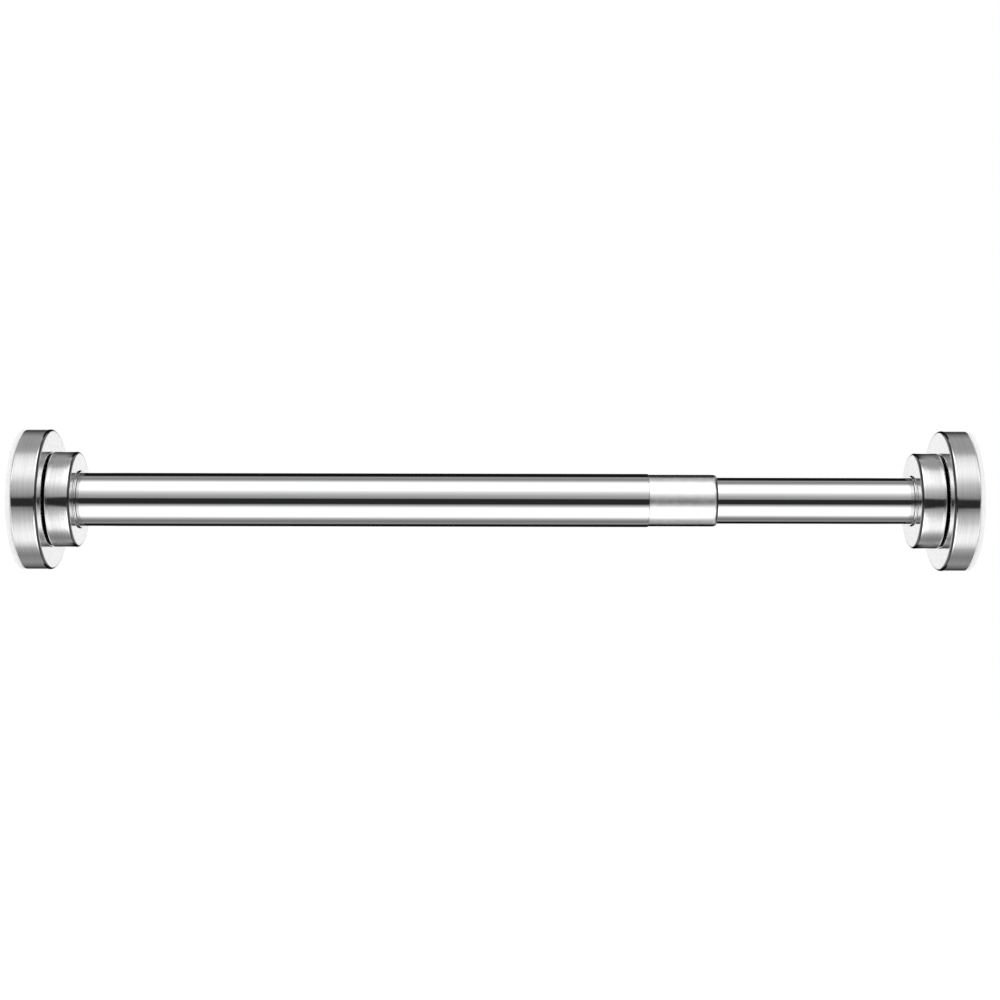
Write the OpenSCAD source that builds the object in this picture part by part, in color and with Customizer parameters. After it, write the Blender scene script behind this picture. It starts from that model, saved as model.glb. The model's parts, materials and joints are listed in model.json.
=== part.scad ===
// Telescopic tension rod for a wardrobe: two steel tubes that slide in each other, a twist lock
// between them, and a screw-out foot at each end. All sizes are in millimetres.
// The rod lies along X. The origin is the centre of the left foot's wall face.

/* [Tubes] */
// Outside diameter of the wide tube
outer_d = 22; // [21:0.5:28]
// Wall of the wide tube
outer_wall = 0.8; // [0.5:0.1:1.2]
// Length of the wide tube
outer_len = 236; // [200:1:500]
// Wall of the narrow tube
inner_wall = 0.8; // [0.5:0.1:1.2]
// Length of the narrow tube
inner_len = 190; // [160:1:200]
// Bare length of the narrow tube that shows between the collar and the right ring
reveal = 80; // [20:0.5:120]

/* [Collar] */
// Length of the satin collar at the end of the wide tube
collar_len = 28; // [15:1:40]
// How far the collar's surface lies below that of the wide tube
collar_step = 0.3; // [0.1:0.05:0.4]
// Length over which the collar's free end is rounded off
collar_round = 2; // [0.6:0.1:3]
// Wall of the nylon bush that guides the narrow tube
bush_wall = 0.55; // [0.4:0.05:0.8]
// Length of the bush inside the wide tube
bush_grip = 14; // [8:1:25]

/* [Foot] */
// Diameter of the foot cover
foot_d = 57.8; // [52:0.2:70]
// Depth of the foot cover's rim
foot_depth = 10.5; // [9.6:0.1:16]
// Thickness of the rubber pad outside the cover
pad_t = 2; // [1.6:0.1:4]
// Number of round grooves in the pad's wall face
pad_grooves = 4; // [2:1:5]
// Thickness of the drawn steel sheet of the covers
sheet_t = 0.7; // [0.5:0.1:0.9]
// Outer radius of the covers' front edges
edge_r = 1.2; // [0.95:0.05:1.4]
// Outer radius of the covers' back edges
back_edge_r = 0.4; // [0.2:0.05:0.5]
// Number of radial ribs in the foot core
core_ribs = 8; // [4:1:12]

/* [Adjusting ring] */
// Diameter of the adjusting ring
ring_d = 39.4; // [37.5:0.2:44]
// Depth of the adjusting ring
ring_depth = 10.1; // [9.4:0.1:14]
// Gap between the foot cover and the adjusting ring with the foot screwed in
ring_gap = 0.7; // [0.4:0.1:2]
// How far the trim ferrule stands out of the adjusting ring
ferrule_lip = 0.8; // [0.4:0.1:2]
// Wall of the trim ferrule
ferrule_wall = 0.8; // [0.6:0.1:1.2]
// Number of hollows moulded in the back of the nut core
nut_pockets = 8; // [5:1:12]

/* [Jack screw] */
// Diameter of the spindle over its thread
spindle_d = 10; // [9:0.5:11]
// Distance between the two flats of the spindle
spindle_flats = 7.8; // [7.4:0.1:8.4]
// How far a foot screws out
jack_travel = 14; // [6:1:20]
// Length of the end plug inside its tube
plug_len = 22; // [15:1:30]
// Length of the nut's hub inside the end plug
hub_len = 8; // [5:0.5:11]

/* [Twist lock] */
// Diameter of the lock stud over its thread
stud_d = 8; // [7:0.5:9]
// Length of the split sleeve
sleeve_len = 22; // [18:1:30]
// Number of slits in the sleeve
sleeve_slits = 4; // [3:1:6]
// Width of a slit
slit_w = 1.6; // [1.2:0.1:2.4]
// Length of the cone's tapered part
cone_len = 13; // [10:0.5:15]
// Half angle of the cone, in degrees
cone_angle = 12; // [9:0.5:14]
// How far the cone is drawn into the sleeve to lock the tubes
cone_travel = 2.5; // [1.5:0.25:4]

/* [Clearances] */
// Gap of pieces that are pressed or clipped together
seat_gap = 0.05; // [0.03:0.01:0.08]
// Radial gap of pieces that turn or slide on each other
run_gap = 0.1; // [0.06:0.01:0.14]

/* [Hidden] */
$fn = 96;
cut = 0.5; // how far a cutter reaches past a face
arc_steps = 8; // straight pieces that a round edge is made of
end_gap = 0.3; // gap at the end of a piece that turns or slides
lead_len = 1.5; // length of a plug's lead-in
lead_in = 1; // depth of a plug's lead-in

// Radii of the nested tubes, from the outside in
outer_r = outer_d / 2;
outer_bore = outer_r - outer_wall;
bush_r = outer_bore - seat_gap;
bush_bore = bush_r - bush_wall;
inner_r = bush_bore - run_gap;
inner_bore = inner_r - inner_wall;
collar_r = outer_r - collar_step;

// Stations of an end, as distances from its wall face
cover_back = pad_t;
cover_face = cover_back + foot_depth;
ring_back = cover_face + ring_gap;
ring_face = ring_back + ring_depth;
ferrule_flange = 0.9; // thickness of the ferrule's flange
tube_end = ring_face - sheet_t - run_gap - ferrule_flange - seat_gap;
plug_flange = 2; // thickness of the end plug's flange
plug_face = tube_end - plug_flange;
plug_end = tube_end + plug_len;
washer_t = 0.7; // thickness of the washers
web_face = plug_face - washer_t - 2 * seat_gap;
web_back = ring_back + end_gap;
hub_end = web_face + hub_len;
hub_floor = hub_end + end_gap;

// Foot
foot_r = foot_d / 2;
hem_w = 1.4; // width of the cover's rolled back edge
core_r = foot_r - sheet_t - seat_gap;
core_back = cover_back + sheet_t + seat_gap;
core_front = cover_face - sheet_t - seat_gap;
core_web = 2;
core_rim = 2;
core_rib_w = 1.6;
core_boss_r = 9;
core_edge_gap = edge_r - sheet_t; // keeps the core clear of the cover's rounded corner
cover_hole = 7;
nose_front = cover_face - sheet_t / 4; // front of the core's nose in the cover's hole
pad_spigot_r = foot_r - hem_w - seat_gap;
pad_groove_w = 2.2;
pad_groove_depth = 0.7;
pad_land_r = 6.5; // flat middle of the pad
pad_edge = 0.5; // edge radius of the pad
pad_step = 0.25; // how far the pad's edge lies inside that of the cover

// Foot screw
screw_r = 2;
screw_head_r = 3.8;
screw_head_h = 1.6;
screw_chamfer = 0.7;
screw_len = 12;
screw_recess_w = 0.9; // width of the cross recess
screw_recess_r = 2.3;
screw_recess_depth = 1;
core_floor_back = core_back + screw_head_h + 2 * seat_gap;
core_floor_t = 1.6;
socket_floor = core_floor_back + core_floor_t;

// Spindle
spindle_r = spindle_d / 2;
hex_r = spindle_r - seat_gap; // corner radius of the hexagon at the spindle's foot end
shoulder = nose_front + seat_gap; // where the spindle's hexagon ends, against the core's nose
clip_t = 1;
clip_r = 7.4;
clip_groove_depth = 0.4; // depth of the clip's groove under the flats
clip_mouth = 0.8; // mouth of the clip as a share of its groove's diameter
tip_len = 1.6; // what is left of the spindle past its clip
tip_chamfer = 1;
clip_back = plug_end + jack_travel + run_gap;
groove_r = spindle_flats / 2 - clip_groove_depth;
spindle_end = clip_back + clip_t + seat_gap + tip_len;
nut_bore = spindle_r + run_gap;
hub_wall = 1.5;
hub_r = nut_bore + hub_wall;

// Adjusting ring
ring_r = ring_d / 2;
nut_r = ring_r - sheet_t - seat_gap;
nut_web_rest = 1.8; // what is left of the web under a hollow
nut_rim = 2;
nut_neck = 1.5; // wall left round the hub behind the web
pocket_rib_w = 2;
flange_over = 2.5; // how far the plug's flange stands past its tube
left_flange = outer_r + flange_over;
right_flange = inner_r + flange_over;
crush_ribs = 6;
crush_rib_w = 1.4;
crush_rib_h = 0.3;
crush_rib_stop = 3; // the ribs end this far short of the plug's end
ferrule_edge = 0.35;

// Twist lock, whose stations are distances from the narrow tube's left end, towards the left foot
plug_ring = 3; // thickness of the stud plug's ring, which stops at the bush
stud_plug_len = 20;
stud_r = stud_d / 2;
stud_grip = 13;
pin_r = 1.5;
pin_at = 16.5; // how deep in the tube the cross pin sits
sleeve_back = plug_ring + washer_t + 2 * seat_gap;
sleeve_mouth = sleeve_back + sleeve_len;
sleeve_r = outer_bore - run_gap;
sleeve_lip = 1; // wall of the sleeve at its mouth
sleeve_edge_len = 0.8;
sleeve_edge = 0.4;
sleeve_base = 4; // length of the sleeve's end that isn't tapered
sleeve_bore = stud_r + 4 * run_gap;
lock_washer_r = stud_r + 4.5;
slit_len = cone_len + 2;
cone_r = sleeve_r - sleeve_lip;
cone_slope = tan(cone_angle);
cone_start = sleeve_mouth + cone_travel + run_gap;
cone_tip_r = cone_r - cone_len * cone_slope;
cone_shoulder = 2;
cone_end = cone_start + cone_shoulder;
key_w = slit_w - 3 * run_gap;
key_in = stud_r + 1; // radius at which a key starts
end_nut_af = stud_d * 1.6; // across the end nut's flats
end_nut_h = stud_d * 0.8;
end_nut_collar = end_nut_h * 0.3; // height of its locking collar
end_nut_collar_r = end_nut_af / 2 - 0.6;
end_nut_back = cone_end + end_gap;
stud_chamfer = 0.8;
stud_end = end_nut_back + end_nut_h + 1;

// Places along the rod
collar_x = tube_end + outer_len;
collar_end_x = collar_x + collar_len;
collar_lip = 1.2; // length of the collar's inward lip, which holds the bush in
collar_lip_x = collar_end_x - collar_lip;
collar_land = 0.4; // width of the collar's flat end face
rod_len = collar_end_x + reveal + ferrule_lip + ring_face;
inner_x = rod_len - tube_end - inner_len;

// Colours
steel = "#cfd2d4";
satin = "#b9bcbe";
zinc = "#a9abad";
black = "#26272a";
nylon = "#dcdcd4";
rubber = "#f2f2f0";

// Helpers

// Points on a quarter or other arc, from angle a to angle b, as [station, radius] pairs.
function arc(station, radius, r, a, b) = [
    for (i = [0 : arc_steps])
        let (t = a + (b - a) * i / arc_steps)
            [station + r * cos(t), radius + r * sin(t)]
];

// A turned piece. Its outline is a list of [station, radius] points.
module turned(outline) {
    rotate_extrude() polygon([for (p = outline) [p[1], p[0]]]);
}

// A plain turned ring or disc.
module band(from, to, r_out, r_in = 0) {
    turned([[from, r_in], [to, r_in], [to, r_out], [from, r_out]]);
}

// A hexagonal prism with flats a distance across apart.
module hexagon(from, to, across) {
    translate([0, 0, from]) cylinder(h = to - from, d = across / cos(30), $fn = 6);
}

// A round bar with two flats.
module double_d(from, to, r, flats) {
    intersection() {
        band(from, to, r);
        translate([-r, -flats / 2, from]) cube([2 * r, flats, to - from]);
    }
}

// Stations run from a wall face towards the middle of the rod.
module at_left() {
    rotate([0, 90, 0]) children();
}

module at_right() {
    translate([rod_len, 0, 0]) rotate([0, -90, 0]) children();
}

// Stations run from the narrow tube's left end towards the left foot.
module at_lock() {
    translate([inner_x, 0, 0]) rotate([0, -90, 0]) children();
}

// A drawn steel cup: a rim from back to face, rounded edges and a hole in the face.
function cup_outline(back, face, r, hole, hem) = concat(
    arc(back + back_edge_r, r - back_edge_r, back_edge_r, 180, 90),
    arc(face - edge_r, r - edge_r, edge_r, 90, 0),
    [[face, hole], [face - sheet_t, hole]],
    arc(face - edge_r, r - edge_r, edge_r - sheet_t, 0, 90),
    hem > 0
        ? [[back + sheet_t, r - sheet_t], [back + sheet_t, r - hem], [back, r - hem]]
        : [[back, r - sheet_t]]
);

// Foot

module pad() {
    color(rubber) difference() {
        turned(concat(
            [[0, 0], [core_back - seat_gap, 0], [core_back - seat_gap, pad_spigot_r],
             [cover_back - seat_gap, pad_spigot_r], [cover_back - seat_gap, foot_r - pad_step]],
            arc(pad_edge, foot_r - pad_step - pad_edge, pad_edge, 90, 180)
        ));
        groove_pitch = (foot_r - pad_land_r - pad_groove_w) / pad_grooves;
        for (i = [0 : pad_grooves - 1])
            band(-cut, pad_groove_depth, pad_land_r + i * groove_pitch + pad_groove_w,
                 pad_land_r + i * groove_pitch);
    }
}

module foot_cover() {
    color(steel) turned(cup_outline(cover_back, cover_face, foot_r, cover_hole, hem_w));
}

module foot_core() {
    color(black) difference() {
        union() {
            // rim and front web
            band(core_back, core_front - core_edge_gap, core_r, core_r - core_rim);
            band(core_front - core_web, core_front - core_edge_gap, core_r);
            band(core_front - core_web, core_front, core_r - core_edge_gap);
            // boss that carries the spindle, and its nose in the cover's hole
            band(core_back, core_front, core_boss_r);
            band(core_front - cut, nose_front, cover_hole - run_gap);
            for (i = [0 : core_ribs - 1])
                rotate([0, 0, i * 360 / core_ribs])
                    translate([core_boss_r - cut, -core_rib_w / 2, core_back])
                        cube([core_r - core_rim - core_boss_r + 2 * cut, core_rib_w,
                              core_front - core_web - core_back + cut]);
        }
        hexagon(socket_floor, cover_face + cut, 2 * (hex_r + run_gap) * cos(30));
        band(core_back - cut, core_floor_back, screw_head_r + 2 * run_gap);
        band(core_back - cut, socket_floor + cut, screw_r + run_gap);
    }
}

module foot_screw() {
    head_back = core_floor_back - seat_gap - screw_head_h;
    color(zinc) difference() {
        union() {
            turned([[head_back, 0], [head_back, screw_head_r - screw_chamfer],
                    [head_back + screw_chamfer, screw_head_r],
                    [head_back + screw_head_h, screw_head_r], [head_back + screw_head_h, 0]]);
            band(head_back + screw_head_h - cut, head_back + screw_len, screw_r);
        }
        for (a = [0, 90])
            rotate([0, 0, a])
                translate([-screw_recess_w / 2, -screw_recess_r, head_back - cut])
                    cube([screw_recess_w, 2 * screw_recess_r, cut + screw_recess_depth]);
    }
}

// Jack screw

module spindle() {
    hex_back = socket_floor + seat_gap;
    color(zinc) difference() {
        union() {
            hexagon(hex_back, shoulder + cut, 2 * hex_r * cos(30));
            difference() {
                double_d(shoulder, spindle_end, spindle_r, spindle_flats);
                // chamfered tip
                turned([[spindle_end + cut, spindle_r + cut],
                        [spindle_end - tip_chamfer, spindle_r + cut],
                        [spindle_end - tip_chamfer, spindle_r],
                        [spindle_end, spindle_r - tip_chamfer],
                        [spindle_end + cut, spindle_r - tip_chamfer]]);
                // groove of the stop clip
                band(clip_back - seat_gap, clip_back + clip_t + seat_gap, spindle_r + cut,
                     groove_r);
            }
        }
        band(hex_back - cut, core_floor_back - seat_gap + screw_len, screw_r + seat_gap);
    }
}

module stop_clip() {
    color(zinc) difference() {
        band(clip_back, clip_back + clip_t, clip_r, groove_r + seat_gap);
        mouth = 2 * groove_r * clip_mouth;
        translate([0, -mouth / 2, clip_back - cut]) cube([clip_r + cut, mouth, clip_t + 2 * cut]);
    }
}

// hole: radius of the hole for the ferrule
module ring_cover(hole) {
    color(steel) turned(cup_outline(ring_back, ring_face, ring_r, hole, 0));
}

// flange_r: radius of the plug's flange, which turns in the core's recess
module nut_core(flange_r) {
    recess_r = flange_r + 4 * run_gap;
    core_face = ring_face - sheet_t - seat_gap;
    color(black) difference() {
        union() {
            band(web_back, core_face - core_edge_gap, nut_r);
            band(web_back, core_face, nut_r - core_edge_gap);
            band(web_back, hub_end, hub_r);
        }
        // recess for the thrust washer and the flanges of plug and ferrule
        band(web_face, ring_face + cut, recess_r, hub_r);
        band(web_back - cut, hub_end + cut, nut_bore);
        difference() {
            band(web_back - cut, web_face - nut_web_rest, nut_r - nut_rim, hub_r + nut_neck);
            for (i = [0 : nut_pockets - 1])
                rotate([0, 0, (i + 0.5) * 360 / nut_pockets])
                    translate([0, -pocket_rib_w / 2, web_back - 2 * cut])
                        cube([nut_r, pocket_rib_w, web_face - web_back + 2 * cut]);
        }
    }
}

// flange_r: radius of the plug's flange
module thrust_washer(flange_r) {
    color(zinc) band(web_face + seat_gap, web_face + seat_gap + washer_t, flange_r - run_gap,
                     hub_r + 2 * run_gap);
}

// bore: radius of the tube's bore, flange_r: radius of the flange at its end
module end_plug(bore, flange_r) {
    spigot_r = bore - crush_rib_h;
    color(nylon) difference() {
        union() {
            band(plug_face, tube_end, flange_r);
            turned([[tube_end - cut, 0], [tube_end - cut, spigot_r],
                    [plug_end - lead_len, spigot_r], [plug_end, spigot_r - lead_in],
                    [plug_end, 0]]);
            for (i = [0 : crush_ribs - 1])
                rotate([0, 0, (i + 0.5) * 360 / crush_ribs])
                    intersection() {
                        band(tube_end - cut, plug_end - crush_rib_stop, bore - seat_gap);
                        translate([spigot_r - cut, -crush_rib_w / 2, tube_end - cut])
                            cube([bore, crush_rib_w, plug_len]);
                    }
        }
        band(plug_face - cut, hub_floor, hub_r + run_gap);
        double_d(hub_floor - cut, plug_end + cut, spindle_r + run_gap,
                 spindle_flats + 2 * run_gap);
    }
}

// tube_r: outside radius of the tube, flange_r: radius of the plug's flange
module ferrule(tube_r, flange_r) {
    in_r = tube_r + seat_gap;
    out_r = in_r + ferrule_wall;
    back = tube_end + seat_gap;
    color(steel) turned(concat(
        [[back, in_r], [back, flange_r], [back + ferrule_flange, flange_r],
         [back + ferrule_flange, out_r]],
        arc(ring_face + ferrule_lip - ferrule_edge, out_r - ferrule_edge, ferrule_edge, 90, 0),
        [[ring_face + ferrule_lip, in_r]]
    ));
}

function ferrule_hole(tube_r) = tube_r + seat_gap + ferrule_wall + 2 * run_gap;

// Tubes

module outer_tube() {
    color(steel) at_left() band(tube_end, collar_x, outer_r, outer_bore);
}

module inner_tube() {
    color(steel) at_right() difference() {
        band(tube_end, tube_end + inner_len, inner_r, inner_bore);
        translate([0, 0, tube_end + inner_len - pin_at]) rotate([90, 0, 0])
            cylinder(h = 3 * inner_r, r = pin_r + seat_gap, center = true);
    }
}

module transition_collar() {
    mouth_r = inner_r + 2 * run_gap;
    drop = collar_r - mouth_r - collar_land; // height of the rounded end
    color(satin) at_left() turned(concat(
        [[collar_x + seat_gap, outer_bore], [collar_x + seat_gap, collar_r]],
        [for (i = [0 : arc_steps])
            let (t = 90 * i / arc_steps)
                [collar_end_x - collar_round * (1 - sin(t)), collar_r - drop * (1 - cos(t))]],
        [[collar_end_x, mouth_r], [collar_lip_x, mouth_r], [collar_lip_x, outer_bore]]
    ));
}

module guide_bush() {
    color(nylon) at_left() band(collar_x - bush_grip, collar_lip_x - seat_gap, bush_r, bush_bore);
}

// Twist lock

module stud_plug() {
    spigot_r = inner_bore - seat_gap;
    color(nylon) at_lock() difference() {
        union() {
            band(0, plug_ring, bush_bore + bush_wall / 2);
            turned([[cut, 0], [cut, spigot_r], [lead_len - stud_plug_len, spigot_r],
                    [-stud_plug_len, spigot_r - lead_in], [-stud_plug_len, 0]]);
        }
        band(-stud_grip - seat_gap, plug_ring + cut, stud_r + seat_gap);
        translate([0, 0, -pin_at]) rotate([90, 0, 0])
            cylinder(h = 3 * inner_r, r = pin_r + seat_gap, center = true);
    }
}

module stud_plug_pin() {
    color(zinc) at_lock() translate([0, 0, -pin_at]) rotate([90, 0, 0])
        cylinder(h = 2 * inner_r - 4 * run_gap, r = pin_r, center = true);
}

module lock_stud() {
    color(zinc) at_lock() turned([
        [-stud_grip, 0], [-stud_grip, stud_r], [stud_end - stud_chamfer, stud_r],
        [stud_end, stud_r - stud_chamfer], [stud_end, 0]
    ]);
}

module lock_washer() {
    color(zinc) at_lock() band(plug_ring + seat_gap, plug_ring + seat_gap + washer_t,
                               lock_washer_r, stud_r + 2 * run_gap);
}

module lock_sleeve() {
    mouth_r = cone_r + seat_gap;
    taper = min(sleeve_len - sleeve_base, (mouth_r - sleeve_bore) / cone_slope);
    color(nylon) at_lock() difference() {
        turned([
            [sleeve_back, sleeve_bore], [sleeve_mouth - taper, sleeve_bore],
            [sleeve_mouth - taper, mouth_r - taper * cone_slope], [sleeve_mouth, mouth_r],
            [sleeve_mouth, sleeve_r - sleeve_edge], [sleeve_mouth - sleeve_edge_len, sleeve_r],
            [sleeve_back + sleeve_edge_len, sleeve_r], [sleeve_back, sleeve_r - sleeve_edge]
        ]);
        for (i = [0 : sleeve_slits - 1])
            rotate([0, 0, i * 360 / sleeve_slits])
                translate([0, -slit_w / 2, sleeve_mouth - slit_len])
                    cube([sleeve_r + cut, slit_w, slit_len + cut]);
    }
}

module lock_cone() {
    color(zinc) at_lock() difference() {
        union() {
            turned([[cone_start - cone_len, 0], [cone_start - cone_len, cone_tip_r],
                    [cone_start, cone_r], [cone_end, cone_r], [cone_end, 0]]);
            // keys that slide in the sleeve's slits and stop the cone turning
            for (i = [0 : sleeve_slits - 1])
                rotate([0, 0, i * 360 / sleeve_slits])
                    translate([key_in, -key_w / 2, cone_start - cone_len])
                        cube([cone_r + sleeve_lip / 2 - key_in, key_w, cone_len + cone_shoulder]);
        }
        band(cone_start - cone_len - cut, cone_end + cut, stud_r + run_gap);
    }
}

module lock_end_nut() {
    color(zinc) at_lock() difference() {
        union() {
            hexagon(end_nut_back, end_nut_back + end_nut_h - end_nut_collar, end_nut_af);
            band(end_nut_back, end_nut_back + end_nut_h, end_nut_collar_r);
        }
        band(end_nut_back - cut, end_nut_back + end_nut_h + cut, stud_r + seat_gap);
    }
}

// Assembly

outer_tube();
transition_collar();
guide_bush();
inner_tube();
stud_plug();
stud_plug_pin();
lock_stud();
lock_washer();
lock_sleeve();
lock_cone();
lock_end_nut();

at_left() pad();  // left_pad
at_left() foot_cover();  // left_foot_cover
at_left() foot_core();  // left_foot_core
at_left() foot_screw();  // left_foot_screw
at_left() spindle();  // left_spindle
at_left() stop_clip();  // left_stop_clip
at_left() ring_cover(ferrule_hole(outer_r));  // left_ring_cover
at_left() nut_core(left_flange);  // left_nut_core
at_left() thrust_washer(left_flange);  // left_thrust_washer
at_left() end_plug(outer_bore, left_flange);  // left_end_plug
at_left() ferrule(outer_r, left_flange);  // left_ferrule

at_right() pad();  // right_pad
at_right() foot_cover();  // right_foot_cover
at_right() foot_core();  // right_foot_core
at_right() foot_screw();  // right_foot_screw
at_right() spindle();  // right_spindle
at_right() stop_clip();  // right_stop_clip
at_right() ring_cover(ferrule_hole(inner_r));  // right_ring_cover
at_right() nut_core(right_flange);  // right_nut_core
at_right() thrust_washer(right_flange);  // right_thrust_washer
at_right() end_plug(inner_bore, right_flange);  // right_end_plug
at_right() ferrule(inner_r, right_flange);  // right_ferrule
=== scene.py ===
"""Looks of the telescopic tension rod: finishes, threads, studio and camera. Lengths are in metres."""

import json
import math

import bmesh
import bpy
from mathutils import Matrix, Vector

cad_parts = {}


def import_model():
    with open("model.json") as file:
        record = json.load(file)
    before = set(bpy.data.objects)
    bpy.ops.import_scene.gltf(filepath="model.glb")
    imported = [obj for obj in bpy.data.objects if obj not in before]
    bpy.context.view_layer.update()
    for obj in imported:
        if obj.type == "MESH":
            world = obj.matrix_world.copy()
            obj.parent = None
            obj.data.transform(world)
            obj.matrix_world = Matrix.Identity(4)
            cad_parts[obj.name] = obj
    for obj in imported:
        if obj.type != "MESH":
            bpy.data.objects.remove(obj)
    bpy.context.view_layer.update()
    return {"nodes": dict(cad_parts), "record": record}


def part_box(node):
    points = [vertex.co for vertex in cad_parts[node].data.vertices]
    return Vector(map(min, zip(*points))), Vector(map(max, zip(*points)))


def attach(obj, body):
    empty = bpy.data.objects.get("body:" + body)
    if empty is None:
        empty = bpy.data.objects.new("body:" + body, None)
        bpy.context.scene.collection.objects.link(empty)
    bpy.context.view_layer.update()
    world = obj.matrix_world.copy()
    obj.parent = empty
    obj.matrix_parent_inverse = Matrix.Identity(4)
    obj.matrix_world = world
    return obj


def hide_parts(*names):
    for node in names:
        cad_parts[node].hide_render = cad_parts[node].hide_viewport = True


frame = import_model()

MM = 0.001

# Sizes that the frame's boxes don't give, as in the construction
SHEET = 0.7 * MM
HEM = 1.4 * MM
COVER_HOLE_RADIUS = 7 * MM
COVER_EDGE = 1.2 * MM
BACK_EDGE = 0.4 * MM
FERRULE_EDGE = 0.35 * MM
FERRULE_WALL = 0.8 * MM
FERRULE_FLANGE = 0.9 * MM
TUBE_WALL = 0.8 * MM
TUBE_EDGE = 0.15 * MM
SEAT_GAP = 0.05 * MM
RUN_GAP = 0.1 * MM
PAD_STEP = 0.25 * MM
PAD_EDGE = 0.5 * MM
PAD_LAND = 6.5 * MM
PAD_GROOVES = 4
PAD_GROOVE_WIDTH = 2.2 * MM
PAD_GROOVE_DEPTH = 0.7 * MM
PAD_GROOVE_EDGE = 0.2 * MM
COLLAR_ROUND = 2 * MM
COLLAR_LIP = 1.2 * MM
COLLAR_LAND = 0.4 * MM
PIN_HOLE_RADIUS = 1.55 * MM
SCREW_BORE_RADIUS = 2.05 * MM
SCREW_BORE_DEPTH = 10.25 * MM
CORE_NOSE_DROP = SHEET / 4
SPINDLE_FLATS = 7.8 * MM
SPINDLE_CHAMFER = 1 * MM
SPINDLE_PITCH = 3 * MM
SPINDLE_THREAD_DEPTH = 0.9 * MM
CLIP_GROOVE_RADIUS = 3.5 * MM
STUD_CHAMFER = 0.8 * MM
STUD_PITCH = 1.25 * MM
STUD_THREAD_DEPTH = 0.65 * MM

# How far a spindle's hexagon and its clip's groove reach into its thread
HEXAGON_LAP = 0.5 * MM
GROOVE_LAP = 0.7 * MM

# Where a thread's crest ends and its root begins and ends, as shares of the pitch
CREST_END = 0.3
ROOT_START = 0.46
ROOT_END = 0.84

ROD_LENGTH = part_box("right_pad")[1][0]
TURN_STEPS = 192
THREAD_STEPS = 72
PIN_HOLE_STEPS = 32
ROUND_STEPS = 8
BACK_EDGE_STEPS = 5
FINE_EDGE_STEPS = 3
SHARP_ANGLE = 30
SUPPORT = 0.1 * MM
LONG_LINE = 4 * SUPPORT
NEARLY_ZERO = 1e-7


def radius_of(node):
    """Outside radius of a turned node."""
    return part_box(node)[1][1]


def stations(node, side):
    """Distances of a node's two ends from its foot's wall face, nearest first."""
    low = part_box(node)[0][0]
    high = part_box(node)[1][0]
    if side == "left":
        return low, high
    return ROD_LENGTH - high, ROD_LENGTH - low


def along(side, station):
    """Place along the rod of a station, which is a distance from its foot's wall face."""
    return station if side == "left" else ROD_LENGTH - station


# Mesh helpers

def arc(station, radius, size, start, end, steps=ROUND_STEPS):
    """Points of a rounded edge as (station, radius), from angle start to end in degrees."""
    points = []
    for i in range(steps + 1):
        turn = math.radians(start + (end - start) * i / steps)
        points.append((station + size * math.cos(turn), radius + size * math.sin(turn)))
    return points


def make_object(name, vertices, faces):
    """A smooth-shaded mesh object with creases where its faces meet sharply."""
    mesh = bpy.data.meshes.new(name)
    mesh.from_pydata(vertices, [], faces)
    clean = bmesh.new()
    clean.from_mesh(mesh)
    bmesh.ops.remove_doubles(clean, verts=clean.verts, dist=NEARLY_ZERO)
    bmesh.ops.recalc_face_normals(clean, faces=clean.faces)
    clean.to_mesh(mesh)
    clean.free()
    mesh.shade_smooth()
    mesh.set_sharp_from_angle(angle=math.radians(SHARP_ANGLE))
    piece = bpy.data.objects.new(name, mesh)
    bpy.context.scene.collection.objects.link(piece)
    return piece


def supported(outline):
    """An outline with points added near the ends of long lines, so that shading bends only there."""
    points = []
    for (a, low), (b, high) in zip(outline, outline[1:] + outline[:1]):
        points.append((a, low))
        length = math.dist((a, low), (b, high))
        if length > LONG_LINE:
            for share in (SUPPORT / length, 1 - SUPPORT / length):
                points.append((a + (b - a) * share, low + (high - low) * share))
    return points


def turned(name, outline, side):
    """A turned piece. Its outline is a closed loop of (station, radius) points."""
    vertices = []
    rings = []
    for station, radius in supported(outline):
        x = along(side, station)
        if radius < NEARLY_ZERO:
            rings.append([len(vertices)] * TURN_STEPS)
            vertices.append((x, 0, 0))
            continue
        rings.append(list(range(len(vertices), len(vertices) + TURN_STEPS)))
        for i in range(TURN_STEPS):
            turn = 2 * math.pi * i / TURN_STEPS
            vertices.append((x, radius * math.cos(turn), radius * math.sin(turn)))
    faces = []
    for here, there in zip(rings, rings[1:] + rings[:1]):
        for i in range(TURN_STEPS):
            j = (i + 1) % TURN_STEPS
            corners = list(dict.fromkeys([here[i], here[j], there[j], there[i]]))
            if len(corners) > 2:
                faces.append(corners)
    return make_object(name, vertices, faces)


def skin(rows):
    """Vertices and faces of a closed skin over rows of (x, radius at each step) round the axis."""
    steps = len(rows[0][1])
    vertices = []
    for x, radii in rows:
        for i, radius in enumerate(radii):
            turn = 2 * math.pi * i / steps
            vertices.append((x, radius * math.cos(turn), radius * math.sin(turn)))
    faces = []
    for k in range(len(rows) - 1):
        for i in range(steps):
            j = (i + 1) % steps
            faces.append([k * steps + i, k * steps + j, (k + 1) * steps + j, (k + 1) * steps + i])
    faces.append(list(range(steps)))
    faces.append(list(range((len(rows) - 1) * steps, len(rows) * steps)))
    return vertices, faces


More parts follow.
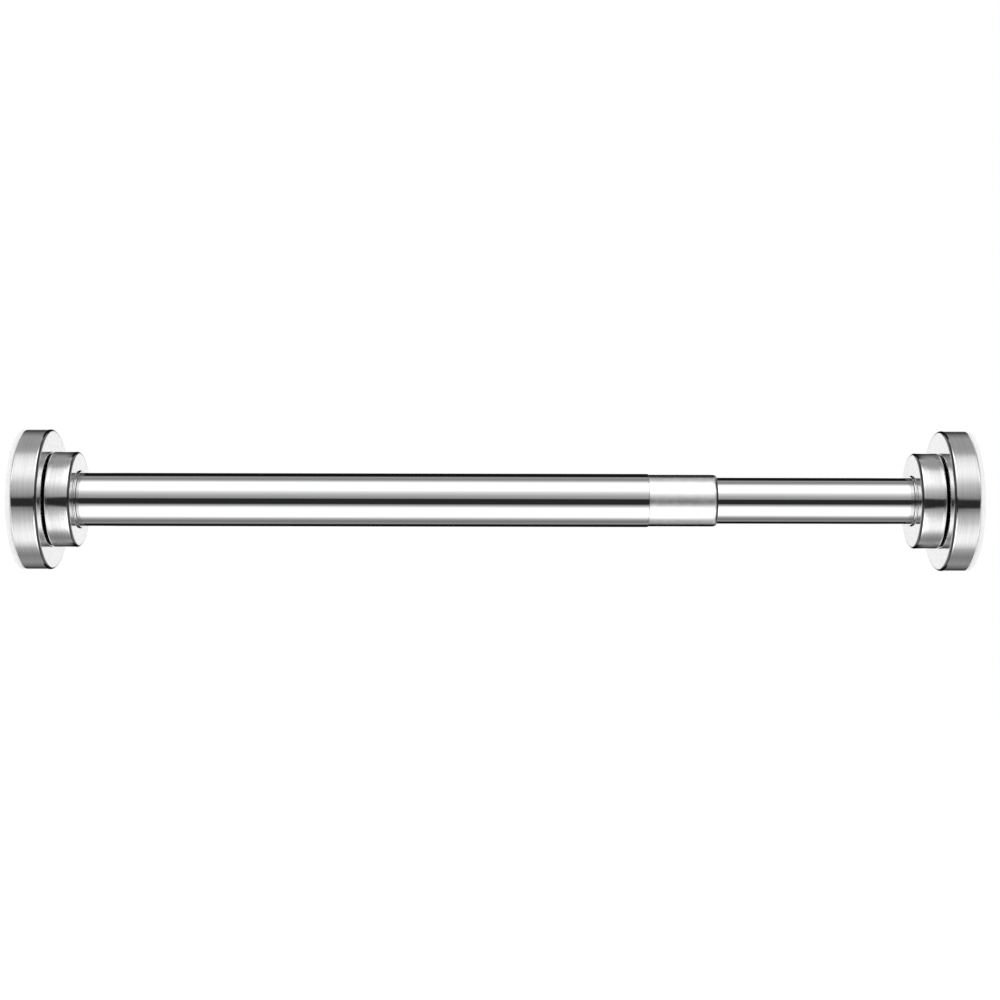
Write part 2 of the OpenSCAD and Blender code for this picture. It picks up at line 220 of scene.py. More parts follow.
def thread(start, end, crest, root, pitch, limit):
    """Vertices and faces of a right-hand thread from start to end.

    Its points follow the helix, so that crest and root stay crisp. limit gives the largest radius
    for an angle, which cuts flats.
    """
    profile = ((0.0, crest), (CREST_END, crest), (ROOT_START, root), (ROOT_END, root))
    loops = math.ceil((end - start) / pitch) + 2
    marks = [k - 1 + phase for k in range(loops) for phase, _ in profile]

    def radius_at(place):
        phase = place - math.floor(place)
        for (a, low), (b, high) in zip(profile, profile[1:] + ((1.0, crest),)):
            if phase <= b:
                break
        return low + (high - low) * (phase - a) / (b - a)

    vertices = []
    for i in range(THREAD_STEPS):
        turn = 2 * math.pi * i / THREAD_STEPS
        for mark in marks:
            lead = mark + i / THREAD_STEPS
            x = min(max(start + lead * pitch, start), end)
            radius = min(radius_at((x - start) / pitch - i / THREAD_STEPS), limit(turn))
            vertices.append((x, radius * math.cos(turn), radius * math.sin(turn)))
    count = len(marks)
    faces = []
    for i in range(THREAD_STEPS):
        here = i * count
        there = (i + 1) % THREAD_STEPS * count
        # the last step meets the first one a pitch further on
        shift = len(profile) if i == THREAD_STEPS - 1 else 0
        for m in range(count - 1):
            near = there + min(m + shift, count - 1)
            far = there + min(m + 1 + shift, count - 1)
            faces.append([here + m, here + m + 1, far, near])
    faces.append([i * count for i in range(THREAD_STEPS)])
    faces.append([(i + 1) * count - 1 for i in range(THREAD_STEPS)])
    faces = [list(dict.fromkeys(corners)) for corners in faces]
    return vertices, [corners for corners in faces if len(corners) > 2]


def join(parts):
    """Puts several lots of vertices and faces together."""
    vertices = []
    faces = []
    for more_vertices, more_faces in parts:
        shift = len(vertices)
        vertices += more_vertices
        faces += [[index + shift for index in corners] for corners in more_faces]
    return vertices, faces


# Material helpers

def add(tree, kind, inputs=None, **settings):
    """A new node with its settings, whose inputs are values or sockets of other nodes."""
    made = tree.nodes.new(kind)
    for key, value in settings.items():
        setattr(made, key, value)
    for key, value in (inputs or {}).items():
        socket = made.inputs[key]
        if isinstance(value, bpy.types.NodeSocket):
            tree.links.new(value, socket)
        else:
            socket.default_value = value
    return made


def calculate(tree, operation, *values):
    """The result of a Math node."""
    inputs = {i: value for i, value in enumerate(values)}
    return add(tree, "ShaderNodeMath", inputs, operation=operation).outputs[0]


def blend(tree, factor, first, second):
    """The result of mixing two numbers."""
    inputs = {"Value": factor, "To Min": first, "To Max": second}
    return add(tree, "ShaderNodeMapRange", inputs).outputs[0]


def rise(tree, value, start, end):
    """A number that goes from 0 to 1 as value goes from start to end."""
    inputs = {"Value": value, "From Min": start, "From Max": end}
    return add(tree, "ShaderNodeMapRange", inputs).outputs[0]


def blend_colours(tree, factor, first, second):
    """The result of mixing two colours."""
    made = add(tree, "ShaderNodeMix", {0: factor, 6: (*first, 1), 7: (*second, 1)}, data_type="RGBA")
    return made.outputs[2]


def blend_shade(tree, factor, colour, tone):
    """A colour that is darkened to a share of itself where factor is 1."""
    share = blend(tree, factor, 1, tone)
    return add(tree, "ShaderNodeVectorMath", {0: colour, "Scale": share}, operation="SCALE").outputs[0]


def ramp(tree, factor, stops):
    """The grey of a ramp whose stops are (position, grey)."""
    made = add(tree, "ShaderNodeValToRGB", {"Fac": factor})
    elements = made.color_ramp.elements
    elements.remove(elements[1])
    for i, (position, grey) in enumerate(stops):
        element = elements[0] if i == 0 else elements.new(position)
        element.position = position
        element.color = (grey, grey, grey, 1)
    return made.outputs["Color"]


def noise(tree, place, scales, detail=3, roughness=0.5):
    """Noise from 0 to 1, with a scale for each direction in patches per metre."""
    scaled = add(tree, "ShaderNodeMapping", {"Vector": place, "Scale": scales}).outputs[0]
    inputs = {"Vector": scaled, "Scale": 1, "Detail": detail, "Roughness": roughness}
    return add(tree, "ShaderNodeTexNoise", inputs).outputs["Fac"]


def bump(tree, height, distance, below=None):
    """A bumped normal for a height from 0 to 1, distance metres deep."""
    inputs = {"Height": height, "Distance": distance, "Strength": 1}
    if below is not None:
        inputs["Normal"] = below
    return add(tree, "ShaderNodeBump", inputs).outputs[0]


def split(tree, vector):
    """The X, Y and Z of a vector."""
    return add(tree, "ShaderNodeSeparateXYZ", {0: vector}).outputs


def end_slope(tree, coordinates):
    """How far a surface turns to the rod's ends: 0 on tubes and rims, 1 on flat ends."""
    return calculate(tree, "ABSOLUTE", split(tree, coordinates.outputs["Normal"])[0])


def towards_middle(tree, coordinates):
    """1 on surfaces that turn to the rod's middle, and 0 on those that turn to its nearer wall."""
    facing = split(tree, coordinates.outputs["Normal"])[0]
    to_middle = calculate(tree, "SUBTRACT", ROD_LENGTH / 2, split(tree, coordinates.outputs["Object"])[0])
    return calculate(tree, "GREATER_THAN", calculate(tree, "MULTIPLY", facing, to_middle), 0)


def bend(tree, slope):
    """1 on a rounded edge, and 0 on the surfaces beside it."""
    from_side = rise(tree, slope, *BEND_FROM_SIDE)
    from_face = rise(tree, slope, *BEND_FROM_FACE)
    return calculate(tree, "MULTIPLY", from_side, from_face)


def begin(name):
    """A new material with its node tree, its shader and the object's own coordinates."""
    material = bpy.data.materials.new(name)
    material.use_nodes = True
    tree = material.node_tree
    coordinates = add(tree, "ShaderNodeTexCoord")
    return material, tree, tree.nodes["Principled BSDF"], coordinates


def connect(tree, shader, colour, roughness, normal, metallic=1):
    """Gives a shader its colour, roughness and normal, which are sockets of other nodes."""
    tree.links.new(colour, shader.inputs["Base Color"])
    tree.links.new(roughness, shader.inputs["Roughness"])
    tree.links.new(normal, shader.inputs["Normal"])
    shader.inputs["Metallic"].default_value = metallic


# Finishes. Colours, tones and roughness come in pairs that noise blends between. Levels, slopes and
# the like are where a blend starts and ends. Noise scales are patches per metre along X, Y and Z.

# Rounded edges, by how far they turn to the rod's ends, and how much of their brightness they keep under
# painted shade, which stands in for the dark studio that they reflect
BEND_FROM_SIDE = (0.1, 0.4)
BEND_FROM_FACE = (0.98, 0.85)
PAINTED_BEND_SHADE = 0.08
PAINTED_RIM_SHADE = 0.05

PLATE_COLOURS = ((0.605, 0.608, 0.612), (0.625, 0.627, 0.63))
PLATE_ROUGHNESS = (0.03, 0.06)
PLATE_HAZE = (45, 70, 70)
PLATE_LINES = (12, 1500, 1500)
PLATE_LINE_DEPTH = 0.0003 * MM


def chrome(name):
    """Bright chrome plate: mirror finish, with faint lengthwise drawing lines and bends darkened by
    painted shade.
    """
    material, tree, shader, coordinates = begin(name)
    place = coordinates.outputs["Object"]
    lines = noise(tree, place, PLATE_LINES, detail=4)
    haze = noise(tree, place, PLATE_HAZE, detail=5, roughness=0.6)
    plate = blend_colours(tree, haze, *PLATE_COLOURS)
    # painted shade: the colour is darkened on rounded edges, in place of the dark reflections there
    painted_bend_mask = bend(tree, end_slope(tree, coordinates))
    connect(tree, shader, blend_shade(tree, painted_bend_mask, plate, PAINTED_BEND_SHADE),
            blend(tree, haze, *PLATE_ROUGHNESS), bump(tree, lines, PLATE_LINE_DEPTH))
    return material


SHEET_TONES = (0.81, 0.86)
SHEET_HAZE = (120, 120, 120)
FACE_SLOPES = (0.75, 0.98)
FACE_SPECKLE = (1100, 1100, 1100)
FACE_SPECKLE_LEVELS = (0.3, 0.7)
FACE_SPECKLE_TONES = (0.84, 1.04)
FACE_SPECKLE_DEPTH = 0.006 * MM
FACE_ROUGHNESS = (0.1, 0.15)
BRUSHING_ACROSS = 7000
BRUSHING_ALONG = 45
BRUSHING_DEPTH = 0.001 * MM
STROKES = (0.25, 1.4, 1.4)
STROKE_LEVELS = (0.35, 0.65)
STROKE_TONES = (0.94, 1.05)
RING_ROUGHNESS = (0.03, 0.045)
FOOT_ROUGHNESS = (0.05, 0.08)
RING_TO_FOOT = (22 * MM, 25 * MM)


def brushed_cover(name):
    """Drawn sheet: rims brushed round the axis, front bends darkened by painted shade, faces speckled and
    rougher.
    """
    material, tree, shader, coordinates = begin(name)
    place = coordinates.outputs["Object"]
    slope = end_slope(tree, coordinates)
    on_face = rise(tree, slope, *FACE_SLOPES)
    # painted shade: the colour is darkened on rounded edges that face the rod's middle
    painted_bend_mask = calculate(tree, "MULTIPLY", bend(tree, slope), towards_middle(tree, coordinates))
    x, y, z = split(tree, place)
    squares = calculate(tree, "ADD", calculate(tree, "MULTIPLY", y, y), calculate(tree, "MULTIPLY", z, z))
    radius = calculate(tree, "SQRT", squares)
    across = calculate(tree, "ADD", x, radius)
    brushing = add(tree, "ShaderNodeCombineXYZ", {
        0: calculate(tree, "MULTIPLY", across, BRUSHING_ACROSS),
        1: calculate(tree, "MULTIPLY", y, BRUSHING_ALONG),
        2: calculate(tree, "MULTIPLY", z, BRUSHING_ALONG),
    }).outputs[0]
    lines = noise(tree, brushing, (1, 1, 1), detail=4, roughness=0.6)
    strokes = noise(tree, brushing, STROKES, detail=3, roughness=0.6)
    speckle = noise(tree, place, FACE_SPECKLE, detail=2)
    haze = noise(tree, place, SHEET_HAZE, detail=4, roughness=0.6)
    speckled = blend(tree, rise(tree, speckle, *FACE_SPECKLE_LEVELS), *FACE_SPECKLE_TONES)
    streaked = blend(tree, rise(tree, strokes, *STROKE_LEVELS), *STROKE_TONES)
    tone = blend(tree, on_face, streaked, speckled)
    sheet = calculate(tree, "MULTIPLY", blend(tree, haze, *SHEET_TONES), tone)
    ring_roughness = blend(tree, haze, *RING_ROUGHNESS)
    foot_roughness = blend(tree, haze, *FOOT_ROUGHNESS)
    rim_roughness = blend(tree, rise(tree, radius, *RING_TO_FOOT), ring_roughness, foot_roughness)
    face_roughness = blend(tree, haze, *FACE_ROUGHNESS)
    brushed = bump(tree, lines, BRUSHING_DEPTH)
    speckle_on_face = calculate(tree, "MULTIPLY", speckle, on_face)
    connect(tree, shader, blend_shade(tree, painted_bend_mask, sheet, PAINTED_BEND_SHADE),
            blend(tree, on_face, rim_roughness, face_roughness),
            bump(tree, speckle_on_face, FACE_SPECKLE_DEPTH, brushed))
    return material


SATIN_COLOURS = ((0.88, 0.88, 0.88), (0.98, 0.98, 0.98))
SATIN_ROUGHNESS = (0.3, 0.36)
SATIN_EDGE_ROUGHNESS = 0.15
SATIN_GRAZING = (0.45, 0.65)
SATIN_HAZE = (350, 350, 350)
SATIN_HAZE_LEVELS = (0.3, 0.7)
SATIN_GRAIN = (2200, 2200, 2200)
SATIN_GRAIN_DEPTH = 0.003 * MM
SATIN_RIM_SLOPES = (0.12, 0.28)


def satin(name):
    """Blasted and satin-plated metal whose rim is darkened by painted shade. Its reflections are soft, and
    crisper at edges.
    """
    material, tree, shader, coordinates = begin(name)
    place = coordinates.outputs["Object"]
    grain = noise(tree, place, SATIN_GRAIN, detail=3)
    mottle = rise(tree, noise(tree, place, SATIN_HAZE, detail=4, roughness=0.6), *SATIN_HAZE_LEVELS)
    metal = blend_colours(tree, mottle, *SATIN_COLOURS)
    # painted shade: the colour is darkened where the surface turns to the rod's ends, the collar's rounded
    # end and lip
    painted_rim_mask = rise(tree, end_slope(tree, coordinates), *SATIN_RIM_SLOPES)
    grazing = rise(tree, add(tree, "ShaderNodeLayerWeight").outputs["Facing"], *SATIN_GRAZING)
    roughness = blend(tree, grazing, blend(tree, mottle, *SATIN_ROUGHNESS), SATIN_EDGE_ROUGHNESS)
    connect(tree, shader, blend_shade(tree, painted_rim_mask, metal, PAINTED_RIM_SHADE), roughness,
            bump(tree, grain, SATIN_GRAIN_DEPTH))
    return material


ZINC_COLOURS = ((0.6, 0.62, 0.66), (0.74, 0.76, 0.79))
ZINC_ROUGHNESS = (0.22, 0.36)
ZINC_MOTTLE = (260, 260, 260)
ZINC_GRAIN = (1500, 1500, 1500)
ZINC_GRAIN_DEPTH = 0.002 * MM


def zinc(name):
    """Bright zinc plate with a faint mottle."""
    material, tree, shader, coordinates = begin(name)
    place = coordinates.outputs["Object"]
    grain = noise(tree, place, ZINC_GRAIN, detail=3)
    mottle = noise(tree, place, ZINC_MOTTLE, detail=4)
    connect(tree, shader, blend_colours(tree, mottle, *ZINC_COLOURS),
            blend(tree, mottle, *ZINC_ROUGHNESS), bump(tree, grain, ZINC_GRAIN_DEPTH))
    return material


# The darkest, smoothest and roughest places, as shares of a piece's own colour and roughness
MOULDED_DARKEST = 0.94
MOULDED_SMOOTHEST = 0.85
MOULDED_ROUGHEST = 1.15
MOULDED_CLOUD = (60, 60, 60)
MOULDED_GRAIN = (2600, 2600, 2600)
LIGHT_DEPTH = 1 * MM


def moulded(name, colour, roughness, grain, through=0.0):
    """Moulded plastic or rubber. grain is a depth, and through is how much light goes into it."""
    material, tree, shader, coordinates = begin(name)
    place = coordinates.outputs["Object"]
    fine = noise(tree, place, MOULDED_GRAIN, detail=3)
    cloud = noise(tree, place, MOULDED_CLOUD, detail=4)
    darker = tuple(MOULDED_DARKEST * channel for channel in colour)
    connect(tree, shader, blend_colours(tree, cloud, darker, colour),
            blend(tree, fine, MOULDED_SMOOTHEST * roughness, MOULDED_ROUGHEST * roughness),
            bump(tree, fine, grain), metallic=0)
    shader.inputs["Subsurface Weight"].default_value = through
    shader.inputs["Subsurface Scale"].default_value = LIGHT_DEPTH
    shader.inputs["Subsurface Radius"].default_value = (1, 1, 1)
    return material


PLASTIC_COLOUR = (0.03, 0.03, 0.032)
NYLON_COLOUR = (0.8, 0.79, 0.73)
RUBBER_COLOUR = (0.9, 0.9, 0.895)

# Finishes by their slots in the record
MATERIALS = {
    "chrome_tube": chrome("chrome_plate"),
    "brushed_cover": brushed_cover("brushed_sheet"),
    "satin_collar": satin("satin_metal"),
    "zinc_steel": zinc("zinc_plate"),
    "black_plastic": moulded("black_plastic", PLASTIC_COLOUR, roughness=0.45, grain=0.004 * MM),
    "natural_nylon": moulded("natural_nylon", NYLON_COLOUR, roughness=0.4, grain=0.002 * MM, through=0.3),
    "white_rubber": moulded("white_rubber", RUBBER_COLOUR, roughness=0.55, grain=0.004 * MM, through=0.4),
}
SLOTS = {entry["node"]: entry["material_slot"] for entry in frame["record"]["subparts"]}
BODY_OF = {node: body for body, nodes in frame["record"]["behaviour"]["bodies"].items() for node in nodes}


def dress(piece, node):
    """Gives a new piece the finish, body and place of the node that it stands for."""
    piece.data.materials.append(MATERIALS[SLOTS[node]])
    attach(piece, BODY_OF[node])
    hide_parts(node)


# Pieces that are turned on the rod's axis

def tube(node, side):
    """A tube whose four edges are slightly rounded."""
    start, end = stations(node, side)
    outer = radius_of(node)
    bore = outer - TUBE_WALL
    edge = TUBE_EDGE
    outline = arc(start + edge, outer - edge, edge, 180, 90, FINE_EDGE_STEPS)
    outline += arc(end - edge, outer - edge, edge, 90, 0, FINE_EDGE_STEPS)
    outline += arc(end - edge, bore + edge, edge, 0, -90, FINE_EDGE_STEPS)
    outline += arc(start + edge, bore + edge, edge, -90, -180, FINE_EDGE_STEPS)
    return turned(f"{node}_skin", outline, side)


def cross_pin_hole(piece, x):
    """Cuts the hole for the cross pin through a tube, along Y."""
    reach = 2 * radius_of("inner_tube")
    steps = PIN_HOLE_STEPS
    vertices = []
    for y in (-reach, reach):
        for i in range(steps):
            turn = 2 * math.pi * i / steps
            vertices.append((x + PIN_HOLE_RADIUS * math.cos(turn), y, PIN_HOLE_RADIUS * math.sin(turn)))
    faces = [[i, (i + 1) % steps, steps + (i + 1) % steps, steps + i] for i in range(steps)]
    faces += [list(range(steps)), list(range(steps, 2 * steps))]
    cutter = make_object("pin_hole_cutter", vertices, faces)
    modifier = piece.modifiers.new("pin_hole", "BOOLEAN")
    modifier.object = cutter
    modifier.operation = "DIFFERENCE"
    modifier.solver = "EXACT"
    shapes = bpy.context.evaluated_depsgraph_get()
    cut_mesh = bpy.data.meshes.new_from_object(piece.evaluated_get(shapes))
    piece.modifiers.clear()
    piece.data = cut_mesh
    piece.data.set_sharp_from_angle(angle=math.radians(SHARP_ANGLE))
    bpy.data.objects.remove(cutter)


def cup(node, side, hole, hem):
    """A drawn sheet cup with rounded edges, and a rolled hem if hem isn't 0."""
    back, face = stations(node, side)
    outer = radius_of(node)
    outline = arc(back + BACK_EDGE, outer - BACK_EDGE, BACK_EDGE, 180, 90, BACK_EDGE_STEPS)
    outline += arc(face - COVER_EDGE, outer - COVER_EDGE, COVER_EDGE, 90, 0)
    outline += [(face, hole), (face - SHEET, hole)]
    outline += arc(face - COVER_EDGE, outer - COVER_EDGE, COVER_EDGE - SHEET, 0, 90)
    if hem:
        outline += [(back + SHEET, outer - SHEET), (back + SHEET, outer - hem), (back, outer - hem)]
    else:
        outline += [(back, outer - SHEET)]
    dress(turned(f"{node}_shell", outline, side), node)


def pad(node, side):
    """The rubber pad, with round-edged grip grooves in its wall face."""
    back, front = stations(node, side)
    outer = radius_of(node)
    spigot = radius_of(f"{side}_foot_cover") - HEM - SEAT_GAP
    step = stations(f"{side}_foot_cover", side)[0] - SEAT_GAP
    outline = [(front, 0), (front, spigot), (step, spigot), (step, outer)]
    outline += arc(back + PAD_EDGE, outer - PAD_EDGE, PAD_EDGE, 90, 180)
    pitch = (outer + PAD_STEP - PAD_LAND - PAD_GROOVE_WIDTH) / PAD_GROOVES
    edge = PAD_GROOVE_EDGE
    for i in reversed(range(PAD_GROOVES)):
        low = PAD_LAND + i * pitch
        high = low + PAD_GROOVE_WIDTH
        outline += arc(back + edge, high + edge, edge, 180, 270, FINE_EDGE_STEPS)
        outline += [(back + PAD_GROOVE_DEPTH, high), (back + PAD_GROOVE_DEPTH, low)]
        outline += arc(back + edge, low - edge, edge, 90, 180, FINE_EDGE_STEPS)
    outline += [(back, 0)]
    dress(turned(f"{node}_rubber", outline, side), node)


def ferrule(node, side, tube_node):
    """The thin lip round the tube, with a flange inside the ring cover."""
    back, lip = stations(node, side)
    bore = radius_of(tube_node) + SEAT_GAP
    outer = bore + FERRULE_WALL
    flange = radius_of(node)
    outline = [(back, bore), (back, flange), (back + FERRULE_FLANGE, flange),
               (back + FERRULE_FLANGE, outer)]
    outline += arc(lip - FERRULE_EDGE, outer - FERRULE_EDGE, FERRULE_EDGE, 90, 0)
    outline += [(lip, bore)]
    dress(turned(f"{node}_trim", outline, side), node)


def collar(node):
    """The collar, with a rounded free end and a lip round the narrow tube."""
    back, end = stations(node, "left")
    outer = radius_of(node)
    bore = radius_of("outer_tube") - TUBE_WALL
    mouth = radius_of("inner_tube") + 2 * RUN_GAP
    drop = outer - mouth - COLLAR_LAND
    outline = [(back, bore), (back, outer)]
    for i in range(ROUND_STEPS + 1):
        turn = math.pi / 2 * i / ROUND_STEPS
        outline.append((end - COLLAR_ROUND * (1 - math.sin(turn)), outer - drop * (1 - math.cos(turn))))
    outline += [(end, mouth), (end - COLLAR_LIP, mouth), (end - COLLAR_LIP, bore)]
    dress(turned(f"{node}_skin", outline, "left"), node)


# Pieces with threads

def round_row(x, radius, limit=None):
    """A row for skin(), at one radius or cut by a limit that depends on the angle."""
    turns = [2 * math.pi * i / THREAD_STEPS for i in range(THREAD_STEPS)]
    return x, [min(radius, limit(turn)) if limit else radius for turn in turns]


def flats(turn):
    """Largest radius of the spindle at an angle, because of its two flats."""
    return SPINDLE_FLATS / 2 / max(abs(math.sin(turn)), NEARLY_ZERO)


def hexagon(corner_radius):
    """Function that gives a hexagon's radius at an angle, with a corner at angle 0."""
    half_side = math.pi / 6
    inner = corner_radius * math.cos(half_side)

    def radius(turn):
        return inner / math.cos(turn % (2 * half_side) - half_side)
    return radius


def spindle(node, side):
    """The jack screw: a hexagon in the foot, a trapezoidal thread with two flats, a clip groove."""
    start, end = stations(node, side)
    outer = radius_of(node)
    groove_start, groove_end = stations(f"{side}_stop_clip", side)
    groove_start -= SEAT_GAP
    groove_end += SEAT_GAP
    shoulder = stations(f"{side}_foot_cover", side)[1] - CORE_NOSE_DROP + SEAT_GAP
    hexagonal = hexagon(outer - SEAT_GAP)
    bore_end = start + SCREW_BORE_DEPTH
    foot_end = skin([
        round_row(bore_end, SCREW_BORE_RADIUS),
        round_row(start, SCREW_BORE_RADIUS),
        round_row(start, outer, hexagonal),
        round_row(shoulder + HEXAGON_LAP, outer, hexagonal),
    ])
    bar = thread(shoulder, groove_start, outer, outer - SPINDLE_THREAD_DEPTH, SPINDLE_PITCH, flats)
    tip = skin([
        round_row(groove_start - GROOVE_LAP, CLIP_GROOVE_RADIUS),
        round_row(groove_end, CLIP_GROOVE_RADIUS),
        round_row(groove_end, outer, flats),
        round_row(end - SPINDLE_CHAMFER, outer, flats),
        round_row(end, outer - SPINDLE_CHAMFER),
    ])
    vertices, faces = join([foot_end, bar, tip])
    if side == "right":
        # half a turn about Z keeps the thread right-handed
        vertices = [(ROD_LENGTH - x, -y, z) for x, y, z in vertices]
    dress(make_object(f"{node}_thread", vertices, faces), node)


def lock_stud(node):
    """The twist lock's stud, threaded from end to end."""
    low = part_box(node)[0][0]
    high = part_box(node)[1][0]
    outer = radius_of(node)
    root = outer - STUD_THREAD_DEPTH
    tip = skin([round_row(low, outer - STUD_CHAMFER), round_row(low + STUD_CHAMFER, outer - SEAT_GAP)])
    bar = thread(low + STUD_CHAMFER, high, outer, root, STUD_PITCH, lambda turn: outer)
    vertices, faces = join([tip, bar])
    dress(make_object(f"{node}_thread", vertices, faces), node)


dress(tube("outer_tube", "left"), "outer_tube")
narrow = tube("inner_tube", "right")
cross_pin_hole(narrow, (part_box("stud_plug_pin")[0][0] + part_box("stud_plug_pin")[1][0]) / 2)
dress(narrow, "inner_tube")
collar("transition_collar")
lock_stud("lock_stud")
for side, tube_node in (("left", "outer_tube"), ("right", "inner_tube")):
    ferrule_hole = radius_of(tube_node) + SEAT_GAP + FERRULE_WALL + 2 * RUN_GAP
    cup(f"{side}_foot_cover", side, COVER_HOLE_RADIUS, hem=HEM)
    cup(f"{side}_ring_cover", side, ferrule_hole, hem=0)
    pad(f"{side}_pad", side)
    ferrule(f"{side}_ferrule", side, tube_node)
    spindle(f"{side}_spindle", side)


# Finishes of the construction's own pieces

for name, node in frame["nodes"].items():
    node.data.materials.clear()
    node.data.materials.append(MATERIALS[SLOTS[name]])


# Studio

FLOOR_DROP = 0.6
FLOOR_SIZE = 8
FLOOR_COLOURS = ((0.97, 0.97, 0.97), (0.99, 0.99, 0.99))
FLOOR_CLOUD = (3, 3, 3)
FLOOR_ROUGHNESS = 0.9

# Places in metres, the lens and its sensor in millimetres, and the roll in degrees
CAMERA_DISTANCE = 0.742
CAMERA_X = 0.1966
CAMERA_HEIGHT = 0.0001
CAMERA_CLIP = 0.01
CAMERA_LENS = 64.7
CAMERA_SENSOR = 36
CAMERA_ROLL = -0.12

# Brightness of the white that the camera sees, and of the soft light from below and from above
WHITE = 1
SOFT_LIGHT = (0.8, 1.1)

# What polished metal sees of the studio, as (degrees above the camera's horizon, brightness).
# Angles past 90 lie behind the rod. The tubes see long softboxes with black cards behind them.
LONG_LIGHTS = (
    (-180, 0.006), (-131, 0.006), (-126, 0.22), (-118, 0.28), (-110, 0.18), (-103, 0.2), (-96, 0.28),
    (-89, 0.46), (-82, 0.8), (-76, 1.15), (-73, 1.4), (-40, 1.4), (-36, 1.15), (-30, 0.86),
    (-24.5, 0.42), (-19, 0.2), (10, 0.31), (19, 0.41), (28, 0.59), (37, 0.86), (43, 1.15), (46, 1.4),
    (76, 1.4), (79, 1.15), (86, 0.76), (93, 0.38), (99, 0.24), (106, 0.24), (113, 0.33), (118, 0.28),
    (123, 0.006), (180, 0.006),
)
# The covers at the ends see softer ones, and a light wall behind.
WALL = 1.0
END_LIGHTS = (
    (-167, WALL), (-160, 0.06), (-150, 0.06), (-140, 0.18), (-125, 0.3), (-105, 0.24), (-96, 0.3),
    (-87, 0.42), (-78, 0.78), (-70, 1.02), (-58, 1.05), (-43, 0.82), (-36, 0.63), (-22, 0.4),
    (-15, 0.27), (4, 0.26), (14, 0.41), (27, 0.63), (34, 0.83), (41, 1.0), (50, 1.07), (65, 0.98),
    (72, 0.86), (78, 0.7), (82, 0.5), (86, 0.4), (95, 0.35), (125, 0.34), (138, 0.2), (150, 0.06),
    (160, 0.06), (167, WALL),
)
# The windows at the sides are the same in front and behind the rod.
WINDOW_LIGHTS = (
    (-90, 0.5), (-70, 0.9), (-62, 1.5), (-48, 1.5), (-40, 0.9), (-20, 0.75), (-12, 0.3), (-4, 0.14),
    (6, 0.14), (14, 0.35), (30, 0.6), (36, 1.5), (52, 1.5), (58, 0.8), (75, 0.5), (90, 0.3),
)

# Where one part of the studio blends into the next, sideways from 0 straight across the rod to 1
# along it. The middle is where the camera sees the middle of the rod.
MIDDLE = -0.002
LONG_TO_END = (0.2284, 0.2318)
DIM_TO_LIGHT_WALL = (0.205, 0.215)
CARD_TAPER = (0.2345, 0.2475)
WINDOW_START = 0.27
WINDOW_START_BEHIND = 0.42
WINDOW_FADE = 0.05
WINDOW_TO_SIDE_WALL = (0.81, 0.84)

# Where they blend up and down, in degrees from the camera's horizon
LIGHTS_TO_WALL = (165, 171)
BESIDE_TO_BEHIND = (150, 160)
CARD_BOTTOM = -18
CARD_TOP = 6
TAPERED_CARD_BOTTOM = -12
TAPERED_CARD_TOP = 2.5
CARD_BOTTOM_BLUR = 1.5
CARD_TOP_BLUR = 2

# Brightness of the black card, of the wall behind the tubes, of the long softboxes as a share of
# their table, and of the side wall, alone and as a share of the windows
CARD = 0.022
DIM_WALL = 0.4
LONG_GAIN = 1.5
SIDE_WALL = 0.2
SIDE_WALL_GAIN = 0.5


def lights(tree, angle, table):
    """Brightness that a table of lights gives at an angle in degrees."""
    share = calculate(tree, "ADD", calculate(tree, "DIVIDE", angle, 360), 0.5)
    return ramp(tree, share, [(degrees / 360 + 0.5, level) for degrees, level in table])


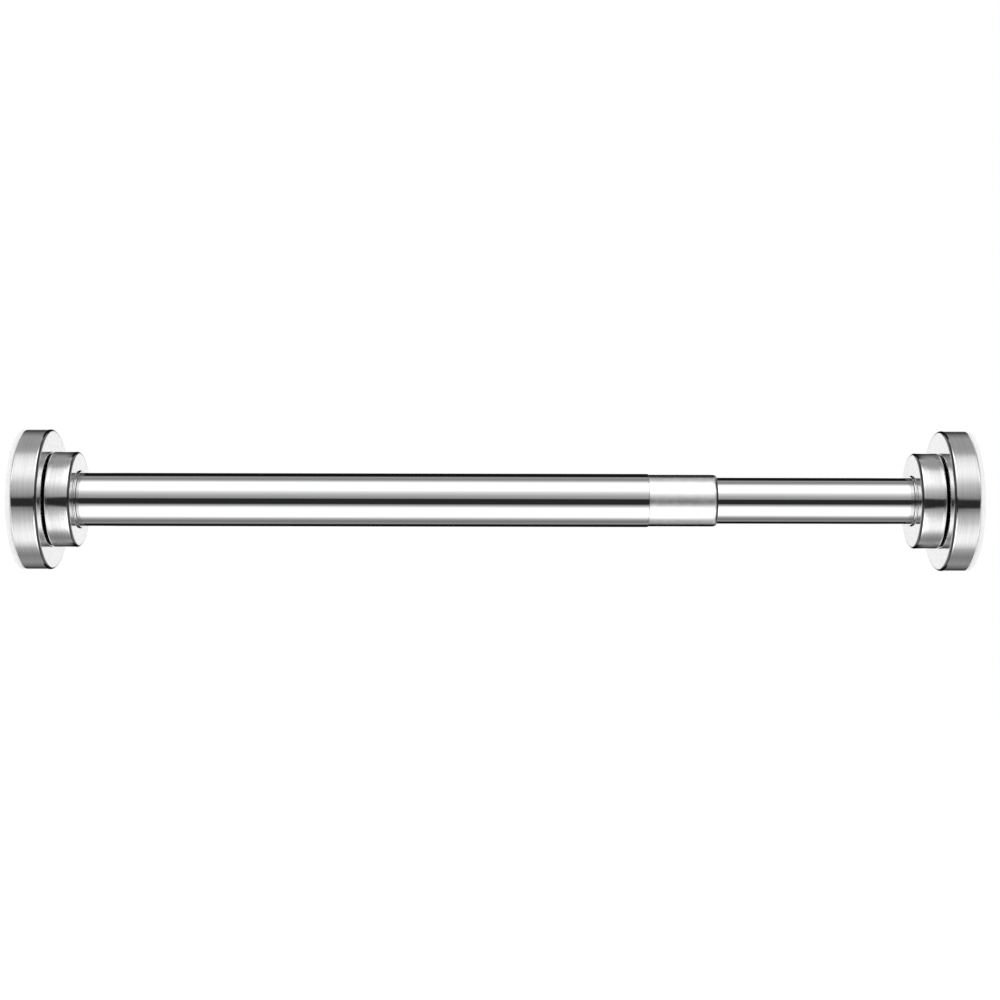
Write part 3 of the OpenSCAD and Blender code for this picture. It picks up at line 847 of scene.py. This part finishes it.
def studio_light(tree):
    """Brightness that polished metal sees in each direction, and how far the direction turns up."""
    direction = add(tree, "ShaderNodeTexCoord").outputs["Generated"]
    x, y, z = split(tree, direction)
    sideways = calculate(tree, "ABSOLUTE", calculate(tree, "SUBTRACT", x, MIDDLE))
    angle = calculate(tree, "DEGREES", calculate(tree, "ARCTAN2", z, calculate(tree, "MULTIPLY", y, -1)))
    from_front = calculate(tree, "ABSOLUTE", angle)
    at_end = rise(tree, sideways, *LONG_TO_END)
    level = blend(tree, at_end, lights(tree, angle, LONG_LIGHTS), lights(tree, angle, END_LIGHTS))
    # wall right behind the rod, dim for the tubes and light for the rings' faces
    wall = blend(tree, rise(tree, sideways, *DIM_TO_LIGHT_WALL), DIM_WALL, WALL)
    level = blend(tree, rise(tree, from_front, *LIGHTS_TO_WALL), level, wall)
    # black card at the camera's height, narrower towards its ends
    taper = rise(tree, sideways, *CARD_TAPER)
    above_bottom = calculate(tree, "SUBTRACT", angle, blend(tree, taper, CARD_BOTTOM, TAPERED_CARD_BOTTOM))
    below_top = calculate(tree, "SUBTRACT", blend(tree, taper, CARD_TOP, TAPERED_CARD_TOP), angle)
    on_card = calculate(tree, "MULTIPLY",
                        rise(tree, above_bottom, -CARD_BOTTOM_BLUR, CARD_BOTTOM_BLUR),
                        rise(tree, below_top, -CARD_TOP_BLUR, CARD_TOP_BLUR))
    level = blend(tree, on_card, level, CARD)
    level = calculate(tree, "MULTIPLY", level, blend(tree, at_end, LONG_GAIN, 1))
    # a window at each side, which leaves room for the wall behind, and a dimmer side wall past it
    behind = rise(tree, from_front, *BESIDE_TO_BEHIND)
    window_start = blend(tree, behind, WINDOW_START, WINDOW_START_BEHIND)
    in_window = rise(tree, calculate(tree, "SUBTRACT", sideways, window_start), 0, WINDOW_FADE)
    mirrored = calculate(tree, "DEGREES", calculate(tree, "ARCTAN2", z, calculate(tree, "ABSOLUTE", y)))
    window = lights(tree, mirrored, WINDOW_LIGHTS)
    side_wall = calculate(tree, "MULTIPLY_ADD", window, SIDE_WALL_GAIN, SIDE_WALL)
    window = blend(tree, rise(tree, sideways, *WINDOW_TO_SIDE_WALL), window, side_wall)
    return blend(tree, in_window, level, window), z


def world():
    """White to the camera, lights and cards to polished metal, and an even soft light to the rest."""
    studio = bpy.data.worlds.new("studio")
    bpy.context.scene.world = studio
    studio.use_nodes = True
    tree = studio.node_tree
    tree.nodes.clear()
    polished, height = studio_light(tree)
    soft = blend(tree, rise(tree, height, -1, 1), *SOFT_LIGHT)
    path = add(tree, "ShaderNodeLightPath").outputs
    level = blend(tree, path["Is Glossy Ray"], soft, polished)
    seen = calculate(tree, "MAXIMUM", path["Is Camera Ray"], path["Is Transmission Ray"])
    level = blend(tree, seen, level, WHITE)
    background = add(tree, "ShaderNodeBackground", {"Color": level, "Strength": 1})
    output = add(tree, "ShaderNodeOutputWorld")
    tree.links.new(background.outputs[0], output.inputs[0])


def floor():
    """A plain pale floor, far under the rod, which metal doesn't reflect."""
    half = FLOOR_SIZE / 2
    corners = [(-half, -half, -FLOOR_DROP), (half, -half, -FLOOR_DROP),
               (half, half, -FLOOR_DROP), (-half, half, -FLOOR_DROP)]
    piece = make_object("floor", corners, [(0, 1, 2, 3)])
    material, tree, shader, coordinates = begin("pale_floor")
    cloud = noise(tree, coordinates.outputs["Object"], FLOOR_CLOUD)
    tree.links.new(blend_colours(tree, cloud, *FLOOR_COLOURS), shader.inputs["Base Color"])
    shader.inputs["Roughness"].default_value = FLOOR_ROUGHNESS
    shader.inputs["Specular IOR Level"].default_value = 0
    piece.data.materials.append(material)
    piece.visible_glossy = False


def camera():
    """At rod height, square to the rod, as the photograph was taken."""
    data = bpy.data.cameras.new("camera")
    data.lens = CAMERA_LENS
    data.sensor_width = CAMERA_SENSOR
    data.clip_start = CAMERA_CLIP
    eye = bpy.data.objects.new("camera", data)
    eye.location = (CAMERA_X, -CAMERA_DISTANCE, CAMERA_HEIGHT)
    eye.rotation_euler = (math.radians(90), math.radians(CAMERA_ROLL), 0)
    bpy.context.scene.collection.objects.link(eye)
    bpy.context.scene.camera = eye


world()
floor()
camera()
bpy.context.scene.view_settings.view_transform = "Standard"
